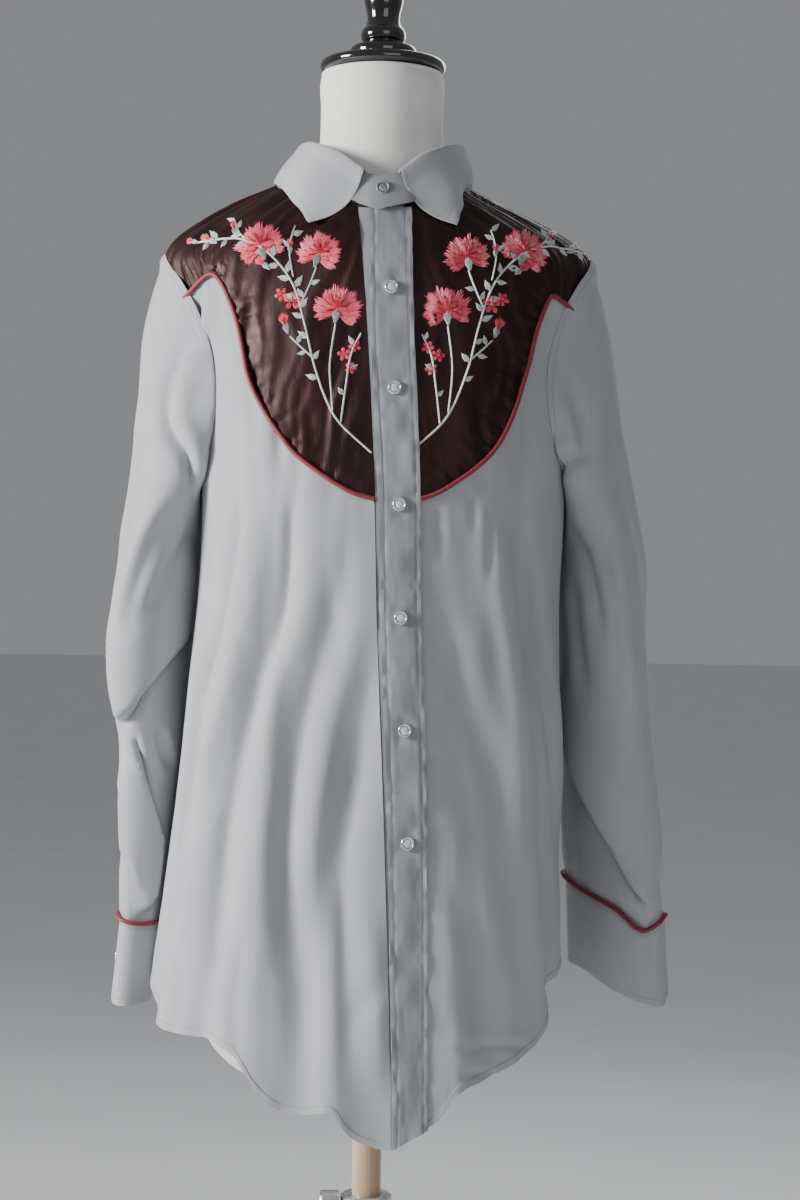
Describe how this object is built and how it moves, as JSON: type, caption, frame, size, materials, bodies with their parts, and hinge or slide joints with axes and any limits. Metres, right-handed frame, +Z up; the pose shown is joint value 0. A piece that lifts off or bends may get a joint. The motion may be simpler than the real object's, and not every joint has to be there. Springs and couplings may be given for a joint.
{
  "type": "western snap shirt on a dress form",
  "caption": "Long-sleeved grey western shirt with velvet yokes, crimson piping and pearl snaps, on a limbless dress form with a turned cap and a pole stand.",
  "frame": {"origin": "on the floor under the middle of the pole, on the underside of the base", "axes": "+Z up along the pole, -Y out of the shirt's front, +X to the wearer's left"},
  "size_m": [0.5085, 0.42, 1.6083],
  "materials": {
    "grey_cloth": "plain cotton-blend shirting, matt",
    "yoke_velvet": "dark brown crushed velvet with embroidered flowers",
    "piping": "crimson twisted cord",
    "snap": "pearl centre in a bright ring",
    "form_cover": "off-white cotton cover, matt",
    "black_lacquer": "gloss black lacquer",
    "pale_wood": "clear varnish, satin",
    "black_enamel": "satin black enamel",
    "bright_steel": "bright plated"
  },
  "bodies": {
    "stand": {"base": "black_enamel", "column": "black_enamel", "lock_collar": "bright_steel"},
    "lever": {"lock_lever": "bright_steel"},
    "post": {"pole": "pale_wood"},
    "figure": {"front_right": "grey_cloth", "front_left": "grey_cloth", "back": "grey_cloth", "sleeve_right": "grey_cloth", "sleeve_left": "grey_cloth", "cuff_right": "grey_cloth", "cuff_left": "grey_cloth", "placket_right": "grey_cloth", "placket_left": "grey_cloth", "collar_band": "grey_cloth", "collar": "grey_cloth", "yoke_right": "yoke_velvet", "yoke_piping_right": "piping", "cuff_piping_right": "piping", "cuff_snap_right": "snap", "yoke_left": "yoke_velvet", "yoke_piping_left": "piping", "cuff_piping_left": "piping", "cuff_snap_left": "snap", "snap_1": "snap", "snap_2": "snap", "snap_3": "snap", "snap_4": "snap", "snap_5": "snap", "snap_6": "snap", "snap_band": "snap", "form": "form_cover", "neck_cap": "black_lacquer"}
  },
  "joints": [
    {"name": "height", "type": "slide", "parent": "stand", "child": "post", "axis": [0, 0, 1], "range_m": [-0.05, 0.28]},
    {"name": "turn", "type": "hinge", "parent": "post", "child": "figure", "pos_m": [0, 0, 0.6], "axis": [0, 0, 1], "continuous": true},
    {"name": "clamp", "type": "hinge", "parent": "stand", "child": "lever", "pos_m": [-0.0233, 0, 0.507], "axis": [1, 0, 0], "range_deg": [-60, 60]}
  ]
}
